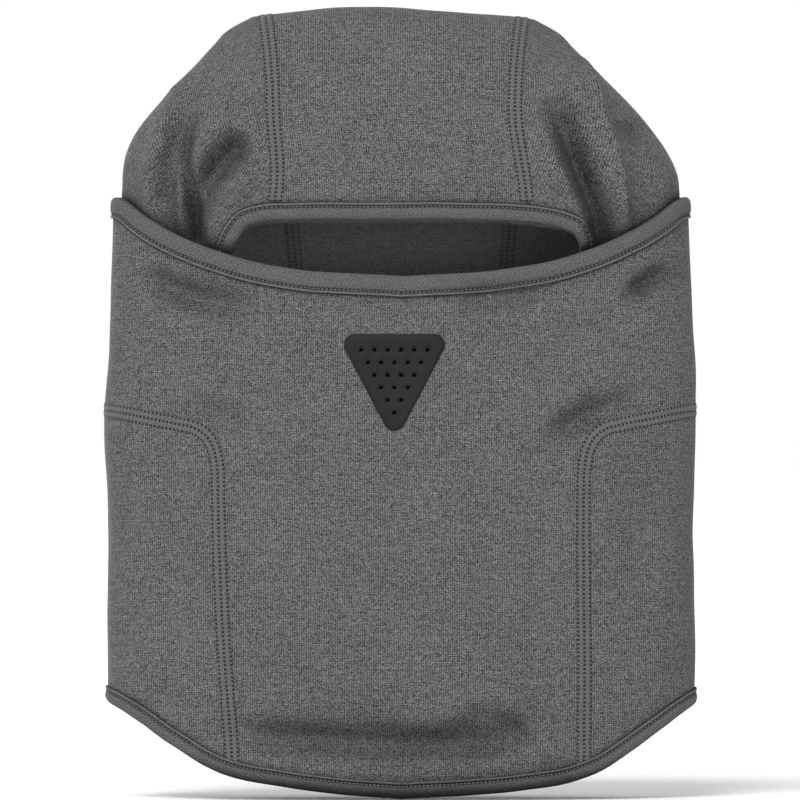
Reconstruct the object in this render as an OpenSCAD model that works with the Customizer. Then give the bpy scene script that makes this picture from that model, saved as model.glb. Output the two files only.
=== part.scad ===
// Hinged ski balaclava: a three-panel hood sewn inside a shaped neck tube, whose
// front rises as a face mask that pulls down under the chin.
// Millimetres. +Z is up, the face looks along -Y, and the origin is on the middle
// axis at the height of the lowest point of the hem.

/* [Overall] */
// Height from the lowest point of the hem to the crown
total_height = 372; // [350:1:395]
// Width across the neck tube
neck_width = 270; // [262:1:280]
// Depth of the neck tube from front to back
neck_depth = 80; // [76:1:90]
// How square the rings round the head are: 2 is an ellipse
ring_power = 2.7; // [2.2:0.1:3.2]

/* [Hood] */
// Width across the hood
hood_width = 262; // [250:1:264]
// Depth of the hood from front to back
hood_depth = 73; // [68:1:74]
// Half the width of the crown panel over the forehead
crown_half = 56.5; // [50:0.5:58]
// Height of the brow edge of the face opening
brow_z = 271; // [268:1:276]
// Height where the hood is sewn into the neck tube
join_z = 165; // [160:1:168]

/* [Mask] */
// Height of the mask's upper edge over the nose
mask_z = 243; // [236:1:246]
// Rise of the mask's upper edge from the nose to the sides
mask_rise = 35; // [28:1:36]
// Clearance that lets the mask slide over the neck panels
mask_gap = 1.2; // [1.0:0.1:1.4]

/* [Neck] */
// Height of the shoulder seams at the sides
shoulder_z = 181; // [178:1:184]
// Distance from the middle to the upright front seams
front_seam_x = 85.5; // [80:0.5:90]
// Distance from the middle to the back seams
back_seam_x = 100; // [96:1:104]
// Rise of the hem from the front middle to the sides
hem_rise = 44; // [36:1:46]
// Height of the hem at the back middle
back_hem_z = 24; // [18:1:30]

/* [Fabric] */
// Thickness of the brushed knit
cloth = 1.8; // [1.5:0.1:2]
// Visible width of the edge binding
bind_w = 8; // [7:0.5:9]
// Thickness of one layer of the binding
bind_t = 0.9; // [0.7:0.1:1]
// Width of a three-needle cover seam
seam_w = 6; // [5:0.5:6.5]
// Height of the cover thread above the cloth
seam_t = 0.5; // [0.4:0.05:0.55]

/* [Vent] */
// Width of the vent patch
vent_w = 46.8; // [44:0.2:48]
// Height of the vent patch
vent_h = 44.8; // [43:0.2:46]
// Rows of holes, with one hole in the lowest
vent_rows = 6; // [4:1:6]
// Diameter of a hole
hole_d = 1.9; // [1.4:0.1:2.2]

/* [Hidden] */

knit = "#5f6063";
tape = "#66676a";
thread = "#77787b";
film = "#2f3032";

neck_a = neck_width / 2;
neck_b = neck_depth / 2;
hood_b = hood_depth / 2;
dome_z = 285;                  // above this height the hood closes over the crown
dome_h = total_height - dome_z;
crown_drop = 5;                // how far the crown falls from its middle to its corners
crown_corner = 66;             // half width of the ridge over the crown
half_gap = 0.15;               // half the gap between two panels that are sewn edge to edge
slack = 0.35;                  // room between a binding and the cloth inside it
lift = 0.15;                   // gap under a cover seam
edge_lip = 0.8;                // how far a binding reaches past the cloth's edge
corner_r = 12;                 // width of the rounded corner of the side panels
cut_z = 158;                   // height where the mask's cloth folds over the neck panels
lap = 5;                       // height of neck cloth that stays hidden behind the mask
step_deg = 6;                  // spacing of the columns round the body
mask_in = mask_gap;            // offsets of the mask's two faces from the neck's surface
mask_out = mask_gap + cloth;

// Half width of the hood by height, from the neck to the ridge of the crown.
hood_outline = [[join_z, 131], [dome_z, 131], [304, 128], [320, 120], [334, 109], [349, 95],
    [360, 84], [368, 75], [total_height, crown_corner]];
// Half width of the face opening by height, from the throat to the brow.
face_outline = [[join_z, 62], [190, 72], [220, 80], [245, 83.5], [255, 83.5], [262, 80], [267, 72],
    [270, 63], [brow_z, crown_half + 2]];

function slope(p, i) = let (a = max(i - 1, 0), b = min(i + 1, len(p) - 1))
    (p[b][1] - p[a][1]) / (p[b][0] - p[a][0]);
// Smooth curve through a list of [position, value] points.
function curve(p, t, i = 0) =
    t <= p[0][0] ? p[0][1] :
    t >= p[len(p) - 1][0] ? p[len(p) - 1][1] :
    t > p[i + 1][0] ? curve(p, t, i + 1) :
    let (w = p[i + 1][0] - p[i][0], u = (t - p[i][0]) / w)
        (1 + 2 * u) * pow(1 - u, 2) * p[i][1] + u * pow(1 - u, 2) * w * slope(p, i)
        + u * u * (3 - 2 * u) * p[i + 1][1] + u * u * (u - 1) * w * slope(p, i + 1);

// A ring's shape: how far across and how far to the front an angle reaches, from -1 to 1.
function across(deg) = sign(sin(deg)) * pow(abs(sin(deg)), 2 / ring_power);
function ahead(deg) = sign(cos(deg)) * pow(abs(cos(deg)), 2 / ring_power);
function angle_at(x, a) = asin(pow(min(1, x / a), ring_power / 2));

function neck_point(deg, z, off) =
    [(neck_a + off) * across(deg), -(neck_b + off) * ahead(deg), z];

function hood_a(z) = curve(hood_outline, z) * hood_width / 262;
function dome(z) = max(0, (z - dome_z) / dome_h);
function hood_z(x, z, off) = (z <= dome_z ? z : dome_z + (z - dome_z) * (dome_h + off) / dome_h)
    - crown_drop * pow(x / crown_corner, 2) * dome(z);
function hood_depth_at(z, off) = (hood_b + off) * sqrt(max(0, 1 - pow(dome(z), 2)));
// A point of the hood by angle round its ring.
function hood_point(deg, z, off) = let (x = (hood_a(z) + off) * across(deg))
    [x, -hood_depth_at(z, off) * ahead(deg), hood_z(x, z, off)];
// A point of the hood by distance from the middle; side is -1 in front and 1 behind.
function hood_at(x, side, z, off) =
    [x, side * hood_depth_at(z, off) * pow(max(0, 1 - pow(abs(x) / (hood_a(z) + off), ring_power)),
        1 / ring_power), hood_z(x, z, off)];

// Seam and edge lines.
function crown_seam_x(z) = crown_half + 3.5 * pow((z - 320) / 50, 2);
function nape_seam_x(z) = crown_half + 3.5 * pow(52 / 50, 2) - 0.096 * (total_height - z);
function face_x(z) = curve(face_outline, z);
function front_share(deg) = pow(abs(across(deg)), 2.8);
function hem_z(deg) = edge_lip + (cos(deg) > 0 ? 0 : back_hem_z)
    + (cos(deg) > 0 ? hem_rise : hem_rise - back_hem_z) * front_share(deg);
function mask_top(deg) = mask_z + mask_rise * (cos(deg) > 0 ? pow(abs(across(deg)), 2.4) :
    0.75 + 0.25 * abs(across(deg)));
function shoulder(deg) = let (x = neck_a * abs(across(deg)), front = shoulder_z - 0.184 * (neck_a - x))
    cos(deg) < 0 ? shoulder_z + 3 * (1 - x / neck_a) :
    x > front_seam_x + corner_r ? front :
    x > front_seam_x ? cut_z + (front - cut_z)
        * sqrt(max(0, 1 - pow((front_seam_x + corner_r - x) / corner_r, 2))) :
    cut_z;

front_deg = angle_at(front_seam_x, neck_a);
back_deg = 180 - angle_at(back_seam_x, neck_a);
// Heights of the hood's rows, closer together over the crown and round the face opening.
low_rows = [join_z, 185, 205, 225, 240, 250, 256, 260, 263, 265.5, 267.5, 269, 270.3];
high_rows = concat([brow_z, 278],
    [for (a = [0, 10, 20, 30, 40, 50, 59, 68, 75, 81, 86]) dome_z + dome_h * sin(a)]);
all_rows = concat(low_rows, high_rows);
// Angles round the body from one angle to another, about step_deg apart.
function turn(a, b, step = step_deg) = let (n = max(1, ceil((b - a) / step)))
    [for (i = [0:n]) a + (b - a) * i / n];
function reversed(v) = [for (i = [len(v) - 1:-1:0]) v[i]];
// Columns of a side panel of the neck, closer together round the corner of its seam.
corner_deg = angle_at(front_seam_x + corner_r, neck_a);
side_columns = concat(turn(front_deg + half_gap, corner_deg, 1.2),
    [for (d = turn(corner_deg, back_deg - half_gap)) if (d > corner_deg) d]);

// A closed shell between two grids of points, rows upward and columns anticlockwise from above.
// With zip, the two ends of the last row are sewn to each other, which closes a narrow slot.
module shell(outer, inner, zip = false) {
    rows = len(outer);
    cols = len(outer[0]);
    n = rows * cols;
    top = rows - 1;
    end = cols - 1;
    function id(i, j, k) = k * n + i * cols + j;
    function quad(a, b, c, d) = [[a, b, c], [a, c, d]];
    function bridge(j, k) = let (a = id(top, j, k), b = id(top, j + 1, k), c = id(top, end - j - 1, k),
        d = id(top, end - j, k)) b == c ? [[a, b, d]] : quad(a, b, c, d);
    faces = concat(
        [for (i = [0:rows - 2], j = [0:cols - 2])
            each quad(id(i, j, 0), id(i + 1, j, 0), id(i + 1, j + 1, 0), id(i, j + 1, 0))],
        [for (i = [0:rows - 2], j = [0:cols - 2])
            each quad(id(i, j, 1), id(i, j + 1, 1), id(i + 1, j + 1, 1), id(i + 1, j, 1))],
        [for (j = [0:cols - 2]) each quad(id(0, j, 0), id(0, j + 1, 0), id(0, j + 1, 1), id(0, j, 1))],
        zip ? concat([for (j = [0:end / 2 - 1]) each [for (t = bridge(j, 0)) reversed(t)]],
            [for (j = [0:end / 2 - 1]) each bridge(j, 1)],
            quad(id(top, 0, 0), id(top, 0, 1), id(top, end, 1), id(top, end, 0))) :
        [for (j = [0:cols - 2]) each quad(id(top, j + 1, 0), id(top, j, 0),
            id(top, j, 1), id(top, j + 1, 1))],
        [for (i = [0:rows - 2]) each quad(id(i + 1, 0, 0), id(i, 0, 0), id(i, 0, 1), id(i + 1, 0, 1))],
        [for (i = [0:rows - 2]) each quad(id(i, cols - 1, 0), id(i + 1, cols - 1, 0),
            id(i + 1, cols - 1, 1), id(i, cols - 1, 1))]);
    polyhedron(points = [for (g = [outer, inner], row = g) each row], faces = faces, convexity = 8);
}

// A solid swept through rings of points. cap lists the triangles that close an end.
module sweep(rings, cap, closed = false) {
    n = len(rings);
    m = len(rings[0]);
    function id(i, k) = (i % n) * m + k % m;
    sides = [for (i = [0:n - (closed ? 1 : 2)], k = [0:m - 1])
        each [[id(i, k), id(i, k + 1), id(i + 1, k + 1)], [id(i, k), id(i + 1, k + 1), id(i + 1, k)]]];
    ends = closed ? [] : concat([for (t = cap) reversed(t)], [for (t = cap) [for (k = t) id(n - 1, k)]]);
    polyhedron(points = [for (r = rings) each r], faces = concat(sides, ends), convexity = 8);
}
band_cap = [[0, 1, 2], [0, 2, 3]];
fold_cap = [[0, 1, 6], [0, 6, 7], [1, 2, 5], [1, 5, 6], [2, 3, 4], [2, 4, 5]];

// Profile of a band lying on a surface: [distance across, offset] pairs.
function band_profile(w, low, high) = [[w / 2, high], [-w / 2, high], [-w / 2, low], [w / 2, low]];
// Profile of a binding folded over a cloth edge: distance is measured from the edge into the cloth.
function fold_profile(inner, outer) = let (gap = slack, lip = -edge_lip)
    [[bind_w, outer + gap + bind_t], [lip, outer + gap + bind_t], [lip, inner - gap - bind_t],
     [bind_w, inner - gap - bind_t], [bind_w, inner - gap], [lip + bind_t / 2, inner - gap],
     [lip + bind_t / 2, outer + gap], [bind_w, outer + gap]];

// A panel of the neck tube between two height lines.
module neck_panel(columns, z_low, z_high, rows, inner, outer) {
    function grid(off) = [for (i = [0:rows]) [for (j = [0:len(columns) - 1])
        neck_point(columns[j], z_low[j] + (z_high[j] - z_low[j]) * i / rows, off)]];
    shell(grid(outer), grid(inner));
}

// The strip over the middle of the head, from the brow over the crown to the nape.
module crown_panel() {
    columns = [for (i = [-4:4]) i / 4];
    function row(z, side, off) = let (edge = (side < 0 ? crown_seam_x(z) : nape_seam_x(z)) - half_gap)
        [for (s = columns) hood_at(s * edge * (hood_a(z) + off) / hood_a(z), side, z, off)];
    function grid(off) = concat([for (z = high_rows) row(z, -1, off)], [row(total_height, -1, off)],
        [for (z = reversed(all_rows)) row(z, 1, off)]);
    color(knit) shell(grid(0), grid(-cloth));
}

hood_columns = 22;
// A side of the hood, from the face opening and crown seam round to the nape seam.
module hood_side(side) {
    function first(z, off) = z < brow_z ? angle_at(face_x(z) + half_gap, hood_a(z) + off) :
        angle_at(crown_seam_x(z) + half_gap, hood_a(z));
    function last(z) = 180 - angle_at(nape_seam_x(z) + half_gap, hood_a(z));
    function grid(off) = [for (z = all_rows) let (a = first(z, off), b = last(z))
        [for (i = [0:hood_columns]) hood_point(a + (b - a) * i / hood_columns, z, off)]];
    color(knit) mirror([side < 0 ? 1 : 0, 0, 0]) shell(grid(0), grid(-cloth), zip = true);
}

// The edge of the face opening as [x, z] points, from the right of the throat over the brow.
face_side = [for (z = low_rows) [face_x(z), z]];
face_edge = concat(face_side, [for (x = [crown_half, 40, 20, 0, -20, -40, -crown_half]) [x, brow_z]],
    [for (p = reversed(face_side)) [-p[0], p[1]]]);
// Direction from the edge into the cloth at a point of the face opening.
function into_cloth(i) = let (a = face_edge[max(0, i - 1)], b = face_edge[min(len(face_edge) - 1, i + 1)],
    d = b - a) [d[1], -d[0]] / norm(d);
function face_ring(i, profile) = let (n = into_cloth(i)) [for (q = profile)
    let (p = face_edge[i] + n * q[0]) hood_at(p[0], -1, p[1], q[1])];
module face_binding() {
    profile = fold_profile(-cloth, 0);
    color(tape) sweep(reversed([for (i = [0:len(face_edge) - 1]) face_ring(i, profile)]), fold_cap);
}
module face_stitching() {
    low = slack + bind_t + 0.1;
    profile = [for (q = band_profile(1.2, low, low + 0.3)) q + [bind_w - 1.4, 0]];
    color(thread) sweep(reversed([for (i = [0:len(face_edge) - 1]) face_ring(i, profile)]), band_cap);
}

// The cover seam between the crown panel and a side panel, from the brow to the nape.
module crown_seam(side) {
    front = concat([for (z = [brow_z + bind_w + 1.5]) z], [for (z = high_rows) if (z > brow_z + 10) z]);
    back = concat(reversed(high_rows), reversed([for (z = low_rows) if (z > join_z + 8) z]),
        [join_z + seam_w + 2]);
    profile = band_profile(seam_w, lift, lift + seam_t);
    function ring(x, face, z) = [for (q = profile) hood_at(x + q[0], face, z, q[1])];
    color(thread) mirror([side < 0 ? 1 : 0, 0, 0])
        sweep(reversed(concat([for (z = front) ring(crown_seam_x(z), -1, z)],
            [ring(crown_seam_x(total_height), -1, total_height)],
            [for (z = back) ring(nape_seam_x(z), 1, z)])), band_cap);
}

// The hidden seam that joins the hood's lower edge to the inside of the neck tube.
module neck_join_seam() {
    hood_off = 0.2;
    function ring(d) = [for (z = [join_z + seam_w, join_z + 1])
        each (z > join_z + 2 ? [hood_point(d, z, hood_off + 1.2), hood_point(d, z, hood_off)] :
            [hood_point(d, z, hood_off), hood_point(d, z, hood_off + 1.2)])];
    start = angle_at(face_x(join_z) + bind_w + 4, hood_a(join_z));
    columns = turn(start, 360 - start);
    color(thread) sweep([for (d = columns) let (r = ring(d)) [r[3], r[0], r[1], r[2]]], band_cap);
}

module neck_front_panel() {
    columns = turn(-front_deg + half_gap, front_deg - half_gap);
    color(knit) neck_panel(columns, [for (d = columns) hem_z(d)], [for (d = columns) cut_z + lap], 6,
        -cloth, 0);
}

module neck_side(side) {
    color(knit) mirror([side < 0 ? 1 : 0, 0, 0]) neck_panel(side_columns,
        [for (d = side_columns) hem_z(d)], [for (d = side_columns) shoulder(d) + lap], 6, -cloth, 0);
}

module neck_back_panel() {
    columns = turn(back_deg + half_gap, 360 - back_deg - half_gap);
    color(knit) neck_panel(columns, [for (d = columns) hem_z(d)], [for (d = columns) join_z + 9], 5,
        -cloth, 0);
}

// The cover seam round the front of a side panel: in from the side, round the corner and down.
module neck_seam(side) {
    x_mid = front_seam_x + seam_w / 2;
    edge = concat(
        [for (d = reversed(turn(angle_at(front_seam_x + corner_r + 1, neck_a), 90)))
            [neck_a * across(d), shoulder(d) - seam_w / 2]],
        [for (a = [75:-15:0]) [front_seam_x + corner_r + 1 - (corner_r - seam_w / 2 + 1) * cos(a),
            cut_z + (12.5 - seam_w / 2 + 1) * sin(a)]],
        [for (z = [140, 115, 90, 65, 40]) [x_mid, z]], [[x_mid, hem_z(front_deg) + bind_w + 4]]);
    last = len(edge) - 1;
    function normal(i) = let (d = edge[min(last, i + 1)] - edge[max(0, i - 1)]) [-d[1], d[0]] / norm(d);
    function ring(i) = [for (q = band_profile(seam_w, lift, lift + seam_t))
        let (p = edge[i] + normal(i) * q[0]) neck_point(angle_at(min(p[0], neck_a), neck_a), p[1], q[1])];
    color(thread) mirror([side < 0 ? 1 : 0, 0, 0]) sweep([for (i = [1:last]) ring(i)], band_cap);
}

// A cover seam that runs straight up the back of the tube.
function back_ring(z, low) = let (w = 0.5 * seam_w / back_seam_x * (180 - back_deg))
    [neck_point(back_deg + w, z, low + seam_t), neck_point(back_deg - w, z, low + seam_t),
     neck_point(back_deg - w, z, low), neck_point(back_deg + w, z, low)];
module back_seam(side) {
    color(thread) mirror([side < 0 ? 1 : 0, 0, 0])
        sweep(reversed([for (z = [hem_z(back_deg) + bind_w + 1, 80, 125, join_z + 8]) back_ring(z, lift)]),
            band_cap);
}
// The seam on the rear edge of the mask's wing, where it is sewn to the hood.
module wing_seam(side) {
    shift = seam_w / 2 + 0.5;
    turned = shift / back_seam_x * (180 - back_deg);
    function ring(z) = [for (p = [[1, 1], [-1, 1], [-1, 0], [1, 0]])
        neck_point(back_deg - turned + p[0] * turned * 0.8, z, mask_out + lift + seam_t * p[1])];
    color(thread) mirror([side < 0 ? 1 : 0, 0, 0])
        sweep(reversed([for (z = [shoulder(back_deg) + 1, 215, mask_top(back_deg) - bind_w - 2]) ring(z)]),
            band_cap);
}

module hem_binding() {
    profile = fold_profile(-cloth, 0);
    color(tape) sweep([for (d = [0:step_deg:359]) [for (q = reversed(profile))
        neck_point(d, hem_z(d) + q[0], q[1])]], fold_cap, closed = true);
}
module hem_stitching() {
    low = slack + bind_t + 0.1;
    color(thread) sweep([for (d = [0:step_deg:359]) [for (q = reversed(band_profile(1.2, low, low + 0.3)))
        neck_point(d, hem_z(d) + bind_w - 1.4 + q[0], q[1])]], band_cap, closed = true);
}

mask_columns = concat([for (d = reversed(side_columns)) -d],
    turn(-front_deg + step_deg, front_deg - step_deg), side_columns);
module mask_panel() {
    color(knit) difference() {
        neck_panel(mask_columns, [for (d = mask_columns) shoulder(d) + half_gap],
            [for (d = mask_columns) mask_top(d)], 6, mask_in, mask_out);
        vent_holes(mask_in - 1, mask_out + 1);
    }
}
module mask_binding() {
    profile = fold_profile(mask_in, mask_out);
    color(tape) sweep([for (d = mask_columns) [for (q = profile)
        neck_point(d, mask_top(d) - q[0], q[1])]], fold_cap);
}
module mask_stitching() {
    low = mask_out + slack + bind_t + 0.1;
    color(thread) sweep([for (d = mask_columns) [for (q = band_profile(1.2, low, low + 0.3))
        neck_point(d, mask_top(d) - bind_w + 1.4 - q[0], q[1])]], band_cap);
}

// The vent: a film triangle with rounded corners, point down, and rows of holes.
vent_top = 216.5;
vent_r = 5;
vent_pitch = 6.2;
vent_row = 5.85;
vent_points = [[-vent_w / 2 + vent_r, vent_top - vent_r], [vent_w / 2 - vent_r, vent_top - vent_r],
    [0, vent_top - vent_h + vent_r]];
module vent_film(t) {
    for (p = vent_points) translate(p) cylinder(r = vent_r, h = t, $fn = 64);
    linear_extrude(t) polygon([for (i = [0:2])
        let (a = vent_points[i], b = vent_points[(i + 1) % 3], d = (b - a) * vent_r / norm(b - a))
        each [a + [-d[1], d[0]], b + [-d[1], d[0]]]]);
}
module vent_holes(near, far) {
    for (row = [0:vent_rows - 1], i = [0:vent_rows - 1 - row])
        translate([(i - (vent_rows - 1 - row) / 2) * vent_pitch, -neck_b - near,
            vent_top - 7 - row * vent_row])
            rotate([90, 0, 0]) cylinder(d = hole_d, h = far - near, $fn = 24);
}
module vent_patch() {
    low = mask_out + 0.1;
    color(film) difference() {
        translate([0, -neck_b - low, 0]) rotate([90, 0, 0]) vent_film(0.5);
        vent_holes(low - 1, low + 2);
    }
}

crown_panel();
hood_side(-1);  // hood_side_left
hood_side(1);  // hood_side_right
face_binding();
face_stitching();
crown_seam(-1);  // crown_seam_left
crown_seam(1);  // crown_seam_right
neck_join_seam();
neck_front_panel();
neck_side(-1);  // neck_side_left
neck_side(1);  // neck_side_right
neck_back_panel();
neck_seam(-1);  // neck_seam_left
neck_seam(1);  // neck_seam_right
back_seam(-1);  // back_seam_left
back_seam(1);  // back_seam_right
hem_binding();
hem_stitching();
mask_panel();
mask_binding();
mask_stitching();
wing_seam(-1);  // wing_seam_left
wing_seam(1);  // wing_seam_right
vent_patch();
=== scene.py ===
"""A hinged ski balaclava in heathered grey brushed knit: panels, cover seams, bindings and a vent."""

import math

import bpy
import numpy as np
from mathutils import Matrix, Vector
from mathutils.geometry import delaunay_2d_cdt


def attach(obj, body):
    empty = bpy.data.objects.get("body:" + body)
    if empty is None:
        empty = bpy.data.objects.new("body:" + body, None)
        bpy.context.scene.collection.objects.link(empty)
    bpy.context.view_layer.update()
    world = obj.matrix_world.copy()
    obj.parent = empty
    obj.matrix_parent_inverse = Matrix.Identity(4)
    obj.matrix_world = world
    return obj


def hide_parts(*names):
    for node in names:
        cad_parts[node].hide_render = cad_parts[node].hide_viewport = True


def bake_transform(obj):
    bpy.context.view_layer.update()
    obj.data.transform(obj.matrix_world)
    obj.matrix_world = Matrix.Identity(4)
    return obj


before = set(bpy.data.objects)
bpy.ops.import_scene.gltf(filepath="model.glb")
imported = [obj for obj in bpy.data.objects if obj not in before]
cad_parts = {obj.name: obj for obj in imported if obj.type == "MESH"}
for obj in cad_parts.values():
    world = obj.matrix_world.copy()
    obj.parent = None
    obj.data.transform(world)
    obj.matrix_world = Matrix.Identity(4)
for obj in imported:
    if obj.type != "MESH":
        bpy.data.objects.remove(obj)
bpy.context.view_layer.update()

MM = 0.001
ROOT, MASK = "hood_and_neck", "mask"
SIDES = (("left", -1), ("right", 1))
# Shapes are worked out in millimetres, with x across, -y to the front and z up. new_object makes them metres.

POWER = 2.7          # how square the rings round the head are
DOME_Z = 285.0       # above this the hood closes over the crown
DOME_H = 87.0        # height of the crown above that
HOOD_DEPTH = 36.5    # half the hood's depth

CLOTH = 1.8          # thickness of the knit
PITCH = 1.95         # length of one stitch
NEEDLE_GAP = 3.0     # distance between the rows of a three-needle seam
FACE_TAPE, MASK_TAPE, HEM_TAPE = 7.2, 8.8, 6.6     # widths of the bindings
STITCH_IN = 1.9      # distance of a binding's stitches from its inner edge
STITCH_RISE = 0.72   # height of those stitches over the cloth
UNDER_TAPE, UNDER_MASK_TAPE = 2.2, 2.5             # the cloth ends this far inside a bound edge
CROWN_GAP, BACK_GAP = 0.04, 0.05                   # half the gap between two panels, under their seam

# Half widths by height, of the hood and of the gaiter, and the gaiter's half depth.
HOOD_OUTLINE = [(160, 130.5), (285, 131), (294, 130.6), (304, 128.5), (320, 121), (334, 110.5), (349, 96),
                (360, 85), (368, 76), (372, 66)]
GAITER_OUTLINE = [(0, 137), (44, 138), (100, 137.6), (150, 138.4), (181, 139), (220, 137), (255, 135.8),
                  (285, 134.6)]
GAITER_DEPTH = [(0, 41), (60, 42), (150, 41.5), (210, 41), (250, 40.6), (285, 40)]
# How far the crown's top sags, by x.
CROWN_SAG = [(-75, 1.2), (-54, 1.8), (-41, 1.5), (-27, 0.5), (-12, 0.7), (3, 1.5), (15, 2.7), (27, 3.4),
             (37, 3.6), (49, 2.8), (61, 1.9), (78, 1.6)]
# The edge of the face opening as (x, z), from the right side up, along the brow and down the left side.
FACE_EDGE = [(62, 165), (72, 188), (79.5, 212), (83.6, 238), (84.8, 250), (84.4, 258), (81.5, 263.6),
             (75, 266.8), (66, 268.8), (50, 270.4), (25, 271), (0, 271.2), (-25, 271), (-50, 270.8),
             (-66, 269.8), (-72.5, 267.6), (-76.5, 262.5), (-80, 254.5), (-82.6, 244), (-83, 235),
             (-79, 212), (-72, 188), (-62, 165)]
# Lines on the front of the gaiter as (x, z), from the middle out. The left side mirrors the right.
MASK_EDGE = [(0, 243), (47, 246), (67, 249.3), (85, 254.6), (108, 264), (120, 271), (130, 278)]
HEM_EDGE = [(0, 0.8), (28, 1.8), (55, 4.4), (81, 8.6), (95, 14), (108.5, 23), (123, 33.5), (132, 40),
            (139, 44.5)]
SHOULDER_SEAM = [(85.5, 12), (85.8, 60), (85.4, 110), (85.4, 146), (85.9, 156), (87.6, 163.5), (91, 169.2),
                 (96, 172.6), (103, 174.4), (116, 177), (130, 179.8), (139, 181.4)]


def curve(points, t):
    """Smooth curve through (position, value) points, level beyond its ends."""
    x, y = np.array(points, float).T
    t = np.clip(np.asarray(t, float), x[0], x[-1])
    slope = np.gradient(y, x)
    i = np.clip(np.searchsorted(x, t, side="right") - 1, 0, len(x) - 2)
    w = x[i + 1] - x[i]
    u = (t - x[i]) / w
    return ((1 + 2 * u) * (1 - u) ** 2 * y[i] + u * (1 - u) ** 2 * w * slope[i]
            + u * u * (3 - 2 * u) * y[i + 1] + u * u * (u - 1) * w * slope[i + 1])


def smooth(t):
    t = np.clip(t, 0, 1)
    return t * t * (3 - 2 * t)


def distances(p):
    """Distance along a line of points to each of them."""
    return np.concatenate([[0], np.cumsum(np.linalg.norm(np.diff(p, axis=0), axis=1))])


def pairs(a, b):
    """Two coordinates side by side, as a last axis of two."""
    return np.stack(np.broadcast_arrays(a, b), -1)


def path_through(points, spacing):
    """Points of a smooth path through the given points, evenly spaced."""
    p = np.array(points, float)
    at = distances(p)
    fine = np.linspace(0, at[-1], 40 * len(p))
    q = np.stack([curve(np.stack([at, p[:, k]], 1), fine) for k in range(p.shape[1])], 1)
    length = distances(q)
    n = max(2, int(round(length[-1] / spacing)) + 1)
    want = np.linspace(0, length[-1], n)
    return np.stack([np.interp(want, length, q[:, k]) for k in range(p.shape[1])], 1)


LATTICE = np.random.RandomState(11).uniform(-1, 1, (24, 24, 24))


def wander(p, size, shift=0.0):
    """Smooth noise from -1 to 1 at points p; size is the distance over which it changes."""
    q = np.asarray(p, float) / size + 40.3 + shift
    i = np.floor(q).astype(int)
    f = q - i
    f = f * f * (3 - 2 * f)
    out = 0.0
    for dx in (0, 1):
        for dy in (0, 1):
            for dz in (0, 1):
                w = (np.where(dx, f[..., 0], 1 - f[..., 0]) * np.where(dy, f[..., 1], 1 - f[..., 1])
                     * np.where(dz, f[..., 2], 1 - f[..., 2]))
                out = out + w * LATTICE[(i[..., 0] + dx) % 24, (i[..., 1] + dy) % 24, (i[..., 2] + dz) % 24]
    return out


# ---- The two surfaces: the hood, and the gaiter that is the neck tube with its mask ----

def across(rad):
    return np.sign(np.sin(rad)) * np.abs(np.sin(rad)) ** (2 / POWER)


def ahead(rad):
    return np.sign(np.cos(rad)) * np.abs(np.cos(rad)) ** (2 / POWER)


def measured_turn(a, b):
    """Angles from the front middle to the back middle, and the distance round the ring at each."""
    rad = np.linspace(0, math.pi, 1441)
    ring = np.stack([a * across(rad), -b * ahead(rad)], 1)
    return rad, distances(ring)


GAITER_TURN = measured_turn(137.5, 41)
HOOD_TURN = measured_turn(131, HOOD_DEPTH)
HALF_ROUND = GAITER_TURN[1][-1]


def turned(u, turn):
    """The angle at distance u round a ring from its front middle, on past the back middle too."""
    rad, length = turn
    w = np.abs(u)
    past = w > length[-1]
    angle = np.interp(np.where(past, 2 * length[-1] - w, w), length, rad)
    return np.sign(u) * np.where(past, 2 * math.pi - angle, angle)


def round_to(x, a, turn, back=False):
    """Distance round a ring of half width a to where it is x from the middle."""
    rad = np.arcsin(np.clip(np.abs(x) / a, 0, 1) ** (POWER / 2))
    return np.sign(x) * np.interp(math.pi - rad if back else rad, *turn)


def gaiter_base(u, z):
    rad = turned(u, GAITER_TURN)
    return np.stack([curve(GAITER_OUTLINE, z) * across(rad), -curve(GAITER_DEPTH, z) * ahead(rad), z], -1)


def hood_lift(x, z_up, dome):
    """The crown falls to its corners, and sags a little more to the right."""
    return z_up - 5.0 * (x / 66.0) ** 2 * dome - curve(CROWN_SAG, x) * dome ** 3


def hood_lean(z):
    """The crown leans a little to one side."""
    return -3.2 * smooth((z - 285) / 40)


def over_crown(t):
    """The angle over the crown at t, the way over the head: the height in front, then degrees over the
    crown, then on down behind."""
    return np.radians(np.clip(np.asarray(t, float) - DOME_Z, 0, 180))


def strip_height(t):
    """Height at a place along the way over the head, before the crown's drop."""
    t = np.asarray(t, float)
    over = DOME_Z + DOME_H * np.sin(over_crown(t))
    return np.where(t < DOME_Z, t, np.where(t > DOME_Z + 180, 2 * DOME_Z + 180 - t, over))


def hood_place(x, t, forward):
    """The hood at x and t, where forward is its share of the depth that it has in the middle."""
    phi, z = over_crown(t), strip_height(t)
    y = -HOOD_DEPTH * np.cos(phi) * forward
    return np.stack([x + hood_lean(z), y, hood_lift(x, z, np.sin(phi))], -1)


def hood_base(u, t):
    """The hood by the distance round it and by the way over the head."""
    rad = turned(u, HOOD_TURN)
    return hood_place(curve(HOOD_OUTLINE, strip_height(t)) * across(rad), t, ahead(rad))


def strip_base(x, t):
    """The hood by x and by the way over the head."""
    share = np.clip(np.abs(x) / curve(HOOD_OUTLINE, strip_height(t)), 0, 1)
    return hood_place(x, t, (1 - share ** POWER) ** (1 / POWER))


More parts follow.
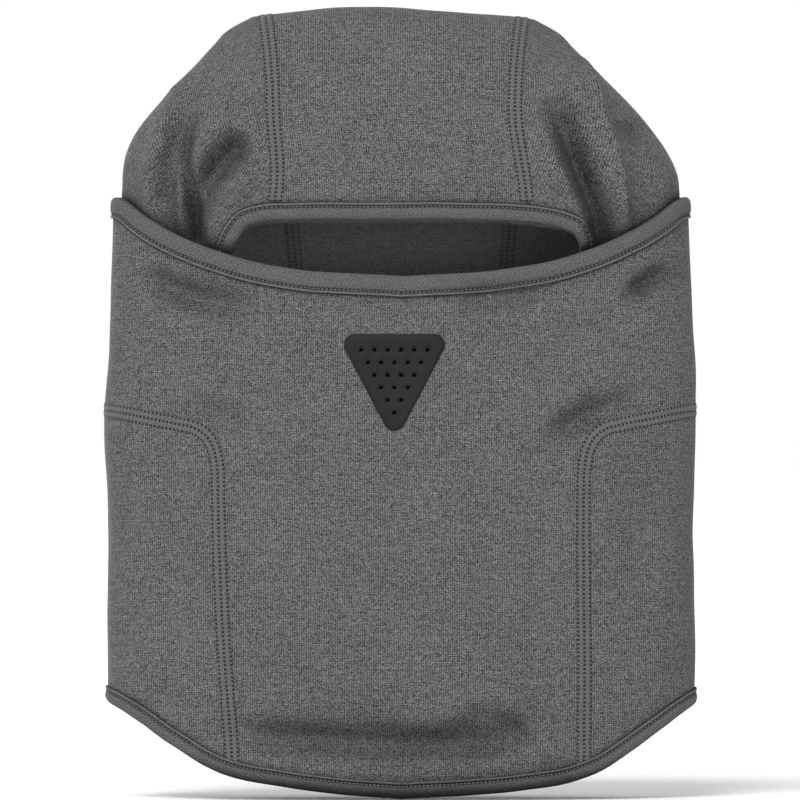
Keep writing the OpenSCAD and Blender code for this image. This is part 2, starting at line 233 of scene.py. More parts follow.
def ridge(p, line, height, soft, soft_right=None):
    """A fold along a line of (x, z, strength) points, seen from the front.
    Given two softnesses, it is a crease: the second is for its +x side."""
    line = np.array(line, float)
    best = np.full(len(p), 1e9)
    side = np.zeros(len(p))
    strength = np.zeros(len(p))
    q = p[:, [0, 2]]
    for a, b in zip(line[:-1], line[1:]):
        d = b[:2] - a[:2]
        k = np.clip(((q - a[:2]) @ d) / (d @ d), 0, 1)
        off = q - (a[:2] + k[:, None] * d)
        dist = np.linalg.norm(off, axis=1)
        nearer = dist < best
        best = np.where(nearer, dist, best)
        side = np.where(nearer, off[:, 0] * abs(d[1]) - off[:, 1] * d[0] * np.sign(d[1] or 1), side)
        strength = np.where(nearer, a[2] + k * (b[2] - a[2]), strength)
    width = np.where(side > 0, soft_right or soft, soft)
    if soft_right:
        return height * strength * np.exp(-best / width)
    return height * strength * np.exp(-(best / width) ** 2)


# Each fold is the line, height and softness that ridge takes. Hollows have a negative height.
HOOD_FOLDS = [
    ([(-92, 345, 0), (-104, 330, 0.8), (-111.5, 312, 1), (-115.5, 298, 1), (-118.6, 282, 0.5),
      (-118, 266, 0.1)], 5.0, 5.0),
    ([(-96, 338, 0), (-104, 322, 0.6), (-108.5, 303, 1), (-110, 283, 1), (-108, 262, 0.6)], -5.4, 5),
    ([(-97, 322, 0), (-101, 308, 0.8), (-102.5, 298, 1), (-100, 283, 1), (-96.5, 262, 1)], -6.0, 3.2),
    ([(-70, 308, 0), (-77, 305, 0.8), (-85.5, 296.5, 1), (-93, 285, 0.9), (-98, 268, 0.6),
      (-101, 256, 0.5)], -10.0, 7.5),
    ([(-94, 326, 0), (-85, 315, 1), (-76, 312, 0.4)], 3.2, 7),
    ([(-83, 284, 0.4), (-74, 286.5, 1), (-66, 289, 0)], 4.2, 6),
    ([(82, 352, 0), (88, 336.5, 0.8), (93, 319, 1), (99, 305, 1), (103, 289.5, 1), (104.7, 278.5, 0.8),
      (105.8, 262, 0.1)], 9.0, 12, 2.6),
    ([(68, 328, 0), (76, 317, 0.7), (81, 302, 1), (87, 284, 1), (93, 268, 1), (96, 256, 0.8)], -9.5, 6.0),
    ([(69, 301, 0), (75.7, 291, 1), (82, 280, 1), (86.5, 272, 0.8)], 3.6, 4.5),
    ([(70, 348, 0), (79, 334, 1), (86, 322, 0.8), (90, 308, 0)], 3.0, 8),
    ([(99, 308, 0.3), (110, 312, 1), (119, 315, 0.6), (125, 316, 0)], -4.6, 5.5),
    ([(112, 300, 0), (119, 292, 1), (121, 272, 0.6)], 1.4, 6),
]
GAITER_FOLDS = [
    ([(104, 232, 0), (112, 239, 1), (121, 244, 0.9), (132, 242, 0.3)], -6.0, 5),
    ([(20, 237, 0), (35, 234, 1), (60, 235, 1), (78, 241, 0)], -3.4, 6),
    ([(-127, 246, 0), (-112, 240, 1), (-96, 234, 1), (-80, 231, 0.8), (-62, 229, 0)], -6.2, 7),
    ([(-101, 185, 0), (-90, 181, 1), (-77, 174, 0.8), (-66, 162, 0)], -3.0, 6),
    ([(66, 160, 0), (77, 173, 1), (90, 180.5, 1), (110, 186, 0.4), (120, 189, 0)], -5.5, 6.5),
    ([(-86, 34, 0), (-62, 28, 0.8), (-40, 27, 1), (0, 24.5, 1), (40, 26, 1), (60, 31, 0.5), (76, 38, 0)],
     -9.0, 8.5),
    ([(22, 28, 0), (37, 38, 1), (50, 36, 0.5), (60, 24, 0)], -3.4, 6),
    ([(-40, 38, 0), (-25, 40, 1), (-8, 34, 0.5)], -2.0, 6),
    ([(8, 42, 0), (18, 37, 1), (27, 43, 0)], 1.6, 5),
    ([(42, 56, 0), (52, 46, 1), (62, 34, 1), (74, 18, 0.5)], 3.6, 6),
    ([(-80, 86, 0), (-72, 54, 1), (-40, 44, 1), (0, 40, 0.6), (20, 42, 0)], -2.0, 16),
    ([(-40, 212, 0), (-60, 170, 0.7), (-62, 120, 0.8), (-48, 60, 0)], 1.4, 20),
    ([(48, 200, 0), (56, 150, 0.8), (50, 90, 0)], 1.5, 18),
    ([(-128, 160, 0), (-116, 120, 1), (-112, 70, 0.8), (-100, 36, 0)], -1.6, 10),
    ([(124, 172, 0), (112, 130, 1), (110, 80, 0.6), (104, 44, 0)], -1.6, 10),
]
NAPE_CREASE = ([(-3, 215, 0), (-3, 240, 1), (-3.5, 290, 0.6), (-3, 330, 0)], 1.3, 2.2, 12)


def both_sides(line, rise=0):
    """A line in front and its mirror image, raised by some mm."""
    return [[(side * x, z + rise) for x, z in line] for side in (1, -1)]


# Seams and bound edges draw the cloth beside them into small puckers.
CROWN_SEAM = [(62, 277), (57.5, 300), (56.5, 320), (58.5, 345), (60.5, 370)]
HOOD_SEAMS = both_sides(CROWN_SEAM) + [[(x, z + 8) for x, z in FACE_EDGE[3:-3]]]
GAITER_SEAMS = both_sides(SHOULDER_SEAM) + both_sides(MASK_EDGE, -10) + both_sides(HEM_EDGE, 9)


def puckers(p, seams):
    near = sum(ridge(p, [(x, z, 1) for x, z in seam], 1, 6.5) for seam in seams)
    return 0.42 * np.clip(near, 0, 1) * smooth(-p[:, 1] / 8) * wander(p, 5.2, 2.7)


def waves(p):
    """Slow unevenness of cloth that lies loose, the same for every layer."""
    return 1.3 * wander(p, 46) + 0.55 * wander(p, 19, 5.1)


def hood_folds(p):
    facing = smooth(-p[:, 1] / 12)
    out = waves(p) * 0.8 + puckers(p, HOOD_SEAMS) + smooth(p[:, 1] / 12) * ridge(p, *NAPE_CREASE)
    for fold in HOOD_FOLDS:
        out = out + facing * ridge(p, *fold)
    # Inside the neck tube the hood lies smooth, and a little further in.
    out = out * smooth((p[:, 2] - 205) / 45)
    out = out - 1.5 * smooth((225 - p[:, 2]) / 30) * smooth((20 - p[:, 1]) / 20)
    # The mask presses it in.
    return out - 3.2 * facing * smooth((262 - p[:, 2]) / 12) * smooth((p[:, 2] - 185) / 25)


def gaiter_folds(p):
    facing = smooth(-p[:, 1] / 14)
    # Behind, the tube dips to the hood where it is sewn on.
    sewn = smooth((112 - np.abs(p[:, 0])) / 12) * smooth(p[:, 1] / 20) * smooth((p[:, 2] - 158) / 14)
    loose = waves(p)
    out = loose + puckers(p, GAITER_SEAMS) + sewn * (loose * (0.8 * smooth((p[:, 2] - 205) / 45) - 1) - 2.6)
    for fold in GAITER_FOLDS:
        out = out + facing * ridge(p, *fold)
    return out


class Surface:
    """A cloth surface. at(u, v, off) gives points off mm outside it, folds and all."""

    def __init__(self, base, folds):
        self.base, self.folds = base, folds

    def at(self, u, v, off=0.0):
        u, v = np.broadcast_arrays(np.asarray(u, float), np.asarray(v, float))
        shape = u.shape
        u, v = u.ravel(), v.ravel()
        off = np.broadcast_to(np.asarray(off, float), shape).ravel()
        e = 0.4
        p = self.base(u, v)
        n = np.cross(self.base(u + e, v) - self.base(u - e, v), self.base(u, v + e) - self.base(u, v - e))
        n /= np.maximum(np.linalg.norm(n, axis=1), 1e-9)[:, None]
        return (p + n * (off + self.folds(p))[:, None]).reshape(*shape, 3)


HOOD = Surface(hood_base, hood_folds)
STRIP = Surface(strip_base, hood_folds)
GAITER = Surface(gaiter_base, gaiter_folds)


# ---- Meshes ----

UV_UNIT = 10         # mm of cloth to one unit of its texture coordinates


def new_object(name, points, faces, materials, uv, groups=None, flat=0):
    """A mesh object. points are in mm, uv is one pair per point in mm, and groups gives each face's material.
    The last few faces are shaded flat, if flat says how many."""
    mesh = bpy.data.meshes.new(name)
    mesh.from_pydata((np.asarray(points) * MM).tolist(), [], [list(map(int, f)) for f in faces])
    for m in materials:
        mesh.materials.append(m)
    if groups is not None:
        mesh.polygons.foreach_set("material_index", np.asarray(groups, np.int32))
    mesh.polygons.foreach_set("use_smooth", np.arange(len(faces)) < len(faces) - flat)
    layer = mesh.uv_layers.new(name="cloth")
    corner = np.empty(len(mesh.loops), np.int32)
    mesh.loops.foreach_get("vertex_index", corner)
    layer.data.foreach_set("uv", (np.asarray(uv, np.float32)[corner] / UV_UNIT).ravel())
    mesh.update()
    obj = bpy.data.objects.new(name, mesh)
    bpy.context.scene.collection.objects.link(obj)
    return obj


def grid_faces(rows, cols, wrap=False):
    i, j = np.meshgrid(np.arange(rows - 1), np.arange(cols if wrap else cols - 1), indexing="ij")
    i, j = i.ravel(), j.ravel()
    k = (j + 1) % cols
    return np.stack([i * cols + j, i * cols + k, (i + 1) * cols + k, (i + 1) * cols + j], 1)


def shell(name, surface, params, faces, materials, off=0.0, thick=CLOTH, uv=None, join_top=None):
    """Cloth of one thickness over a 2-D mesh of surface parameters, with its edges closed.
    The second material is the inside's. join_top lists vertex pairs that are sewn together over a ridge."""
    uv = params if uv is None else uv
    faces = [list(f) for f in faces]
    if join_top is not None:
        half = len(join_top) // 2
        for j in range(half):
            quad = [join_top[j], join_top[j + 1], join_top[-2 - j], join_top[-1 - j]]
            faces.append(list(dict.fromkeys(quad)))
    used = np.unique(np.concatenate([np.array(f) for f in faces]))
    number = {int(k): i for i, k in enumerate(used)}
    faces = [[number[int(k)] for k in f] for f in faces]
    params, uv, n = params[used], uv[used], len(used)
    outer = surface.at(params[:, 0], params[:, 1], off)
    inner = surface.at(params[:, 0], params[:, 1], off - thick)
    once = {}
    for f in faces:
        for a, b in zip(f, f[1:] + f[:1]):
            if (b, a) in once:
                del once[(b, a)]
            else:
                once[(a, b)] = True
    rim = [[b, a, a + n, b + n] for a, b in once]
    back = [[k + n for k in reversed(f)] for f in faces]
    groups = [0] * len(faces) + [len(materials) - 1] * len(back) + [0] * len(rim)
    return new_object(name, np.concatenate([outer, inner]), faces + back + rim, materials,
                      np.concatenate([uv, uv]), groups, flat=len(rim))


def tube(name, rings, materials, uv, closed=False):
    """A closed solid through rings of points, shape (n, m, 3), whose faces all look outwards."""
    n, m = rings.shape[:2]
    points = rings.reshape(-1, 3)
    rows = n + 1 if closed else n
    quads = grid_faces(rows, m, wrap=True) % (n * m)
    a, b, c, d = points[quads.T]
    if np.sum(np.cross(c - a, d - b) * (a + b + c + d)) < 0:
        points = rings[:, ::-1].reshape(-1, 3)
        uv = uv[:, ::-1]
    faces = quads.tolist()
    if not closed:
        faces += [list(range(m))[::-1], [(n - 1) * m + k for k in range(m)]]
    return new_object(name, points, faces, materials, uv.reshape(-1, 2))


# ---- Materials ----

class Nodes:
    """Short calls for building one material's nodes."""

    def __init__(self, name):
        self.material = bpy.data.materials.new(name)
        self.material.use_nodes = True
        self.tree = self.material.node_tree
        self.shader = self.tree.nodes["Principled BSDF"]

    def add(self, kind, inputs=None, **settings):
        node = self.tree.nodes.new(kind)
        for key, value in settings.items():
            setattr(node, key, value)
        for key, value in (inputs or {}).items():
            self.put(node.inputs[key], value)
        return node

    def put(self, socket, value):
        if isinstance(value, bpy.types.NodeSocket):
            self.tree.links.new(value, socket)
        else:
            socket.default_value = value

    def math(self, operation, *values):
        node = self.add("ShaderNodeMath", operation=operation)
        for k, value in enumerate(values):
            self.put(node.inputs[k], value)
        return node.outputs[0]

    def times(self, a, b):
        return self.math("MULTIPLY", a, b)

    def total(self, *values):
        out = values[0]
        for value in values[1:]:
            out = self.math("ADD", out, value)
        return out

    def cloth_place(self, turn=0.0):
        """The place on the cloth, 10 mm to the unit, turned by some degrees."""
        place = self.add("ShaderNodeUVMap", uv_map="cloth").outputs[0]
        rotation = (0, 0, math.radians(turn))
        return self.add("ShaderNodeMapping", {"Vector": place, "Rotation": rotation}).outputs[0]

    def stretched(self, place, x, y):
        return self.add("ShaderNodeMapping", {"Vector": place, "Scale": (x, y, 1)}).outputs[0]

    def noise(self, place, scale, detail=2.0, roughness=0.6):
        inputs = {"Vector": place, "Scale": scale, "Detail": detail, "Roughness": roughness}
        return self.add("ShaderNodeTexNoise", inputs).outputs["Fac"]

    def bands(self, place, pitch, axis="X", distortion=0.0):
        """Sine bands from 0 to 1, pitch in mm."""
        inputs = {"Vector": place, "Scale": math.pi / pitch, "Distortion": distortion, "Detail": 1.0,
                  "Detail Scale": 3.0}
        return self.add("ShaderNodeTexWave", inputs, bands_direction=axis).outputs["Fac"]

    def near(self, value, middle, reach):
        """1 where value is middle, falling smoothly to 0 at reach to either side."""
        off = self.math("ABSOLUTE", self.math("SUBTRACT", value, middle))
        inputs = {"Value": off, "From Min": 0.0, "From Max": reach, "To Min": 1.0, "To Max": 0.0}
        return self.add("ShaderNodeMapRange", inputs, interpolation_type="SMOOTHSTEP").outputs[0]

    def each_loop(self, place, wide, tall):
        """A random tone from 0 to 1 for each knitted loop, whose size is in mm."""
        size = (wide / UV_UNIT, tall / UV_UNIT, 1)
        loop = self.add("ShaderNodeVectorMath", {0: place, 1: size}, operation="SNAP").outputs[0]
        return self.add("ShaderNodeTexWhiteNoise", {"Vector": loop}, noise_dimensions="2D").outputs["Value"]

    def about(self, value, amount):
        """amount times how far value is above a half."""
        return self.times(self.math("SUBTRACT", value, 0.5), amount)

    def painted_hollow_shade(self, tone):
        """tone, darker where the cloth lies in a hollow: painted shade, from how much of the space round each
        point is open.
        """
        inputs = {"Distance": HOLLOW_REACH * MM}
        open_share = self.add("ShaderNodeAmbientOcclusion", inputs, samples=6).outputs["AO"]
        return self.times(tone, self.math("POWER", open_share, HOLLOW_DARK))

    def colour(self, rgb, tone, light=1.0):
        """The base colour: rgb, light times as bright, and varied by tone."""
        rgb = tuple(light * c for c in rgb)
        scaled = self.add("ShaderNodeVectorMath", {0: rgb, "Scale": tone}, operation="SCALE")
        self.put(self.shader.inputs["Base Color"], scaled.outputs[0])

    def bump(self, height, depth_mm, strength=1.0):
        node = self.add("ShaderNodeBump", {"Height": height, "Distance": depth_mm * MM, "Strength": strength})
        self.put(self.shader.inputs["Normal"], node.outputs[0])

    def finish(self, roughness, sheen=0.0, specular=0.5):
        self.shader.inputs["Roughness"].default_value = roughness
        self.shader.inputs["Specular IOR Level"].default_value = specular
        if sheen:
            self.shader.inputs["Sheen Weight"].default_value = sheen
            self.shader.inputs["Sheen Roughness"].default_value = 0.45
            self.shader.inputs["Sheen Tint"].default_value = (0.8, 0.82, 0.86, 1)
        return self.material


GREY = (0.083, 0.084, 0.0873)
BLACK = (0.0128, 0.0133, 0.0147)
HOLLOW_REACH = 24    # how far away, in mm, cloth still shades cloth
HOLLOW_DARK = 2.2    # how strongly it does
GROOVE = 2.96        # distance over a binding's surface from its inner edge to its stitch groove


def knit(name, turn=0.0):
    """Heathered jersey: slubs along the courses, a fleck of light and dark fibres, and fine loops."""
    n = Nodes(name)
    place = n.cloth_place(turn)
    slub = n.noise(n.stretched(place, 0.4, 13), 1.0, 3)
    fine_slub = n.noise(n.stretched(place, 3.0, 24), 1.0, 2)
    fleck = n.noise(place, 25.0, 1, 0.7)
    tones = n.each_loop(place, 0.5, 0.5)
    broad = n.noise(place, 0.22, 1)
    wales = n.bands(place, 1.05, "X", 0.5)
    courses = n.bands(place, 0.85, "Y", 0.5)
    loops = n.times(wales, courses)
    tone = n.total(1.0, n.about(slub, 1.0), n.about(fine_slub, 1.8), n.about(fleck, 4.5), n.about(tones, 1.3),
                   n.about(broad, 0.2), n.times(n.math("SUBTRACT", loops, 0.25), 0.9), n.about(wales, 0.3))
    # Painted shade: the knit's colour is darker where the cloth lies in a hollow.
    n.colour(GREY, n.painted_hollow_shade(n.math("MAXIMUM", tone, 0.15)))
    n.bump(n.total(n.times(loops, 0.5), n.times(fleck, 0.5), n.times(slub, 0.6)), 0.16, 0.9)
    return n.finish(0.95, sheen=0.08, specular=0.2)


def fleece(name):
    """The brushed inside: short tangled pile, painted 2.1 times as light as the outer grey, which is painted
    light against the shade inside the hood.
    """
    n = Nodes(name)
    place = n.cloth_place()
    pile = n.noise(place, 7.0, 4, 0.75)
    tufts = n.noise(place, 2.2, 2)
    rows = n.bands(place, 1.6, "Y", 2.0)
    tone = n.total(1.0, n.about(pile, 2.0), n.about(tufts, 0.5), n.about(rows, 0.15))
    # Painted light: the inside is 2.1 times as light as the outer grey. It also carries painted shade where
    # it lies in a hollow.
    n.colour(GREY, n.painted_hollow_shade(tone), 2.1)
    n.bump(n.total(pile, n.times(tufts, 0.8)), 0.6, 0.9)
    return n.finish(1.0, sheen=0.15, specular=0.1)


def twill(name):
    """Binding tape cut on the bias, so its ribs run at a slant. Painted shade darkens its stitch groove and
    its edge against the cloth, and a painted highlight lightens the top of its lip.
    """
    n = Nodes(name)
    place = n.cloth_place()
    slant = n.cloth_place(43)
    across_mm = n.times(n.add("ShaderNodeSeparateXYZ", {"Vector": place}).outputs[0], UV_UNIT)
    ribs = n.bands(slant, 1.25, "X", 0.6)
    cross = n.bands(slant, 0.95, "Y", 0.8)
    fleck = n.noise(place, 18.0, 2, 0.7)
    broad = n.noise(place, 0.9, 2)
    # Painted shade in the stitch groove and at the edge against the cloth, and a painted highlight on the
    # lip.
    groove = n.near(across_mm, GROOVE, 0.75)
    foot_shade = n.near(across_mm, 0.0, 0.9)
    lip = n.near(across_mm, 1.5, 0.7)
    tone = n.total(1.0, n.about(ribs, 0.32), n.about(cross, 0.16), n.about(fleck, 4.5), n.about(broad, 0.25),
                   n.times(groove, -0.85), n.times(foot_shade, -1.0), n.times(lip, 0.35))
    # Painted shade: the tape's colour is darker where it lies in a hollow.
    n.colour(GREY, n.painted_hollow_shade(n.math("MAXIMUM", tone, 0.12)))
    n.bump(n.total(n.times(ribs, 0.7), n.times(cross, 0.3), n.times(fleck, 1.0)), 0.15, 0.9)
    return n.finish(0.95, sheen=0.05, specular=0.2)


def cover_thread(name, light=1.0, depth=2.0):
    """A flat cover seam: slanting cover threads between three rows of needle holes, which are darkened with
    painted shade, depth times as strongly.
    """
    n = Nodes(name)
    place = n.cloth_place()
    split = n.add("ShaderNodeSeparateXYZ", {"Vector": place})
    w = n.math("ABSOLUTE", n.times(split.outputs[0], UV_UNIT))
    row = n.math("MINIMUM", w, n.math("ABSOLUTE", n.math("SUBTRACT", w, NEEDLE_GAP)))
    between = n.bands(place, PITCH, "Y")
    # Painted shade: the colour is darkened at each needle hole, where the threads dip into the cloth.
    holes = n.times(n.near(row, 0.0, 1.0), n.math("POWER", n.math("SUBTRACT", 1.0, between), 1.5))
    slant = n.bands(n.cloth_place(28), PITCH / 2, "Y", 0.4)
    fleck = n.noise(place, 18.0, 2, 0.7)
    tone = n.total(1.12, n.about(slant, 0.5), n.about(fleck, 4.0), n.times(holes, -depth))
    n.colour(GREY, n.math("MAXIMUM", tone, 0.12), light)
    n.bump(n.total(n.times(slant, 0.8), n.times(fleck, 0.5)), 0.2, 0.9)
    return n.finish(0.85, sheen=0.1, specular=0.3)


def sewing_thread(name):
    n = Nodes(name)
    place = n.cloth_place()
    twist = n.bands(n.cloth_place(35), 0.5, "X")
    fleck = n.noise(place, 22.0, 2)
    n.colour(GREY, n.total(1.25, n.about(twist, 0.35), n.about(fleck, 0.5)))
    n.bump(twist, 0.08, 0.8)
    return n.finish(0.75, sheen=0.1, specular=0.35)


def vent_film(name, light=1.0):
    """Matt rubbery film bonded to the cloth, which shows through it a little."""
    n = Nodes(name)
    place = n.cloth_place()
    grain = n.noise(place, 26.0, 2, 0.7)
    weave = n.times(n.bands(place, 1.05, "X", 0.5), n.bands(place, 0.85, "Y", 0.5))
    cloud = n.noise(place, 0.5, 2)
    n.colour(BLACK, n.total(1.0, n.about(grain, 1.2), n.about(cloud, 0.35)), light)
    n.bump(n.total(n.times(grain, 0.6), n.times(weave, 0.3)), 0.06, 0.7)
    return n.finish(0.7, specular=0.16)


def loose_fibre(name):
    n = Nodes(name)
    tint = n.noise(n.cloth_place(), 6.0, 2)
    n.colour(GREY, n.total(1.15, n.about(tint, 0.9)))
    return n.finish(0.9, sheen=0.2, specular=0.2)


KNIT = knit("knit_straight")
KNIT_RIGHT = knit("knit_right_bias", 38)
KNIT_LEFT = knit("knit_left_bias", -38)
FLEECE = fleece("brushed_inside")
TWILL = twill("binding_twill")
COVER = cover_thread("cover_seam_thread")
# Painted light: inside the hood the seam thread is 1.6 times as light, with less painted shade at its needle
# holes.
COVER_INSIDE = cover_thread("cover_seam_thread_inside", 1.6, 0.8)
THREAD = sewing_thread("stitch_thread")
FILM = vent_film("vent_film")
# Painted shade: the film at 0.35 of its brightness, for the sheet behind the vent that darkens its holes.
HOLE_SHADE = vent_film("vent_hole_shade", 0.35)
FIBRE = loose_fibre("loose_fibre")


# ---- Lines on the surfaces ----

def crown_seam_x(z):
    return 56.5 + 3.5 * ((z - 320) / 50) ** 2


def nape_seam_x(z):
    return crown_seam_x(372) - 0.084 * (372 - z)


def strip_seam_x(t):
    z = strip_height(t)
    return np.where(np.asarray(t) < DOME_Z + 90, crown_seam_x(z), nape_seam_x(z))


def gaiter_u(x, z, back=False):
    return round_to(x, curve(GAITER_OUTLINE, z), GAITER_TURN, back)


FOLD_U = np.interp(math.pi / 2, *GAITER_TURN)    # the side fold's distance round from the front middle
BACK_SEAM_X = 100.0
BACK_U = float(gaiter_u(BACK_SEAM_X, 150, back=True))
BACK_TOP = 181.0                                 # where the back panel is sewn to the hood
# How far the left front seam leans in, by height.
SEAM_LEAN = [(0, 8.0), (40, 5.2), (80, 2.4), (120, 0.6), (150, 0)]


def seam_u(z, side):
    """Distance round to the upright front seam on one side."""
    x = curve([(z, x) for x, z in SHOULDER_SEAM[:4]], z) - (curve(SEAM_LEAN, z) if side < 0 else 0)
    return side * gaiter_u(x, np.asarray(z, float))


def by_round(points, z, ends):
    """The whole of a line as (distance round, height), from its (x, height) in front and its ends behind."""
    return [(float(gaiter_u(x, z)), h) for x, h in points] + ends


MASK_LINE = by_round(MASK_EDGE, 260, [(FOLD_U, 280.2), (FOLD_U + 24, 279.6), (BACK_U, 277)])
HEM_LINE = by_round(HEM_EDGE, 30, [(FOLD_U + 24, 41), (FOLD_U + 60, 32.5), (BACK_U + 30, 27.5),
                                   (HALF_ROUND, 24.8)])
# How much higher the hem hangs on the left, by the distance round.
HEM_LEFT = [(0, 0), (35, 1.3), (80, 3.0), (105, 4.0), (130, 2.8), (160, 0.5), (200, 0)]
SHOULDER_LINE = by_round(SHOULDER_SEAM[4:], 175, [(FOLD_U + 20, 182.2), (BACK_U, 183)])


def mask_top(u):
    return curve(MASK_LINE, np.abs(u))


def hem_z(u):
    """The hem's height. It hangs a little higher on the left, at -x."""
    return curve(HEM_LINE, np.abs(u)) + np.where(np.asarray(u) < 0, curve(HEM_LEFT, np.abs(u)), 0)


def shoulder_z(u):
    return curve(SHOULDER_LINE, np.abs(u))


# ---- Hood panels ----

DOME_BEND = 60       # mean radius of the dome, for its cloth coordinates
face_path = path_through(FACE_EDGE, 0.65)


def side_of(path):
    """Unit vectors to the right of a path, as it is walked."""
    d = np.gradient(path, axis=0)
    d /= np.linalg.norm(d, axis=1)[:, None]
    return np.stack([d[:, 1], -d[:, 0]], 1)


def crown_panel():
    t = np.concatenate([np.arange(274, DOME_Z, 1.6), DOME_Z + np.linspace(0, 180, 131),
                        DOME_Z + 180 + np.arange(1.8, 123, 1.8)])
    share = np.linspace(-1, 1, 61)
    tt, ss = np.meshgrid(t, share, indexing="ij")
    x = ss * (strip_seam_x(tt) - CROWN_GAP)
    middle = strip_base(0 * t, t)
    length = distances(middle)
    uv = pairs(x, length[:, None])
    return shell("hood_crown_panel", STRIP, pairs(x, tt).reshape(-1, 2), grid_faces(*x.shape),
                 [KNIT, FLEECE], uv=uv.reshape(-1, 2))


def inside_edge(x, z):
    """Distance from the edge of the face opening into the cloth, at places in front."""
    p = np.stack([x, z], -1)
    side = side_of(face_path)
    out = np.empty(len(p))
    for k, q in enumerate(p):
        off = q - face_path
        nearest = np.argmin(np.sum(off * off, axis=1))
        out[k] = off[nearest] @ side[nearest]
    return out


def hood_side(side):
    """A side of the hood, from the crown seam round to the nape seam, cut out for the face."""
    t = np.concatenate([np.arange(158, DOME_Z, 1.8), DOME_Z + np.linspace(0, 88.4, 62)])
    z = strip_height(t)
    a = curve(HOOD_OUTLINE, z)
    first = round_to(crown_seam_x(np.maximum(z, 278)) + CROWN_GAP, a, HOOD_TURN)
    last = round_to(nape_seam_x(z) + CROWN_GAP, a, HOOD_TURN, back=True)
    u = first[:, None] + (last - first)[:, None] * np.linspace(0, 1, 131)
    tt = np.repeat(t[:, None], u.shape[1], 1)
    if side < 0:
        u = -u[:, ::-1]
    rise = np.where(t < DOME_Z, t, DOME_Z + (t - DOME_Z) * math.radians(1) * DOME_BEND)
    uv = pairs(u, rise[:, None])
    rows, cols = u.shape
    # The cloth ends inside the fold of the face binding.
    place = hood_base(u.ravel(), tt.ravel())
    keep = np.ones(len(place), bool)
    near = np.where((place[:, 1] < 0) & (place[:, 2] < 284) & (np.abs(place[:, 0]) < 96))[0]
    keep[near] = inside_edge(place[near, 0], place[near, 2]) > UNDER_TAPE
    faces = grid_faces(rows, cols)
    top = [(rows - 1) * cols + j for j in range(cols)]
    word, cloth = ("right", KNIT_RIGHT) if side > 0 else ("left", KNIT_LEFT)
    return shell("hood_side_cloth_" + word, HOOD, pairs(u, tt).reshape(-1, 2),
                 faces[keep[faces].all(1)], [cloth, FLEECE], uv=uv.reshape(-1, 2), join_top=top)


# ---- Gaiter panels ----

VENT_X, VENT_TOP, VENT_W, VENT_H, VENT_R = -3.0, 216.6, 46.8, 44.8, 4.8
HOLE_R, HOLE_PITCH, HOLE_ROW, HOLES_DOWN = 0.95, 6.2, 5.85, 7.2


def circle(x, z, r, n):
    a = np.arange(n) * 2 * math.pi / n
    return np.stack([x + r * np.cos(a), z + r * np.sin(a)], 1)


def vent_holes():
    """The outlines of the holes, in rows of 6 down to 1."""
    places = [(VENT_X + (i - (5 - row) / 2) * HOLE_PITCH, VENT_TOP - HOLES_DOWN - row * HOLE_ROW)
              for row in range(6) for i in range(6 - row)]
    return [circle(x, z, HOLE_R, 14) for x, z in places]


def filled(outline, holes, spacing=2.0):
    """Triangles that fill an outline and leave holes open: points, triangles and each point's sources."""
    loops = [outline] + holes
    low, high = outline.min(0) + spacing, outline.max(0)
    xs, zs = np.meshgrid(*(np.arange(low[k], high[k], spacing) for k in (0, 1)))
    inner = np.stack([xs.ravel() + spacing / 4 * ((np.arange(xs.size) // xs.shape[1]) % 2), zs.ravel()], 1)
    after = np.roll(outline, -1, 0)
    rise = np.where(after[:, 1] == outline[:, 1], 1e-9, after[:, 1] - outline[:, 1])
    keep = []
    for p in inner:
        near_edge = np.min(np.linalg.norm(outline - p, axis=1)) < spacing * 0.6
        in_hole = any(np.linalg.norm(h.mean(0) - p) < HOLE_R + spacing * 0.4 for h in holes)
        reach = outline[:, 0] + (after[:, 0] - outline[:, 0]) * (p[1] - outline[:, 1]) / rise
        crossings = np.sum(((outline[:, 1] > p[1]) != (after[:, 1] > p[1])) & (p[0] < reach))
        if crossings % 2 and not near_edge and not in_hole:
            keep.append(p)
    points, edges, n = [], [], 0
    for loop in loops:
        points += [Vector(p) for p in loop]
        edges += [(n + k, n + (k + 1) % len(loop)) for k in range(len(loop))]
        n += len(loop)
    points += [Vector(p) for p in keep]
    verts, _, faces, source, _, _ = delaunay_2d_cdt(points, edges, [], 1, 1e-5)
    verts = np.array([(v.x, v.y) for v in verts])
    out = []
    for f in faces:
        middle = verts[list(f)].mean(0)
        if any(np.linalg.norm(h.mean(0) - middle) < HOLE_R * 0.98 for h in holes):
            continue
        a, b, c = verts[list(f)]
        turn = (b[0] - a[0]) * (c[1] - a[1]) - (b[1] - a[1]) * (c[0] - a[0])
        out.append(list(f) if turn > 0 else list(f)[::-1])
    return verts, out, source


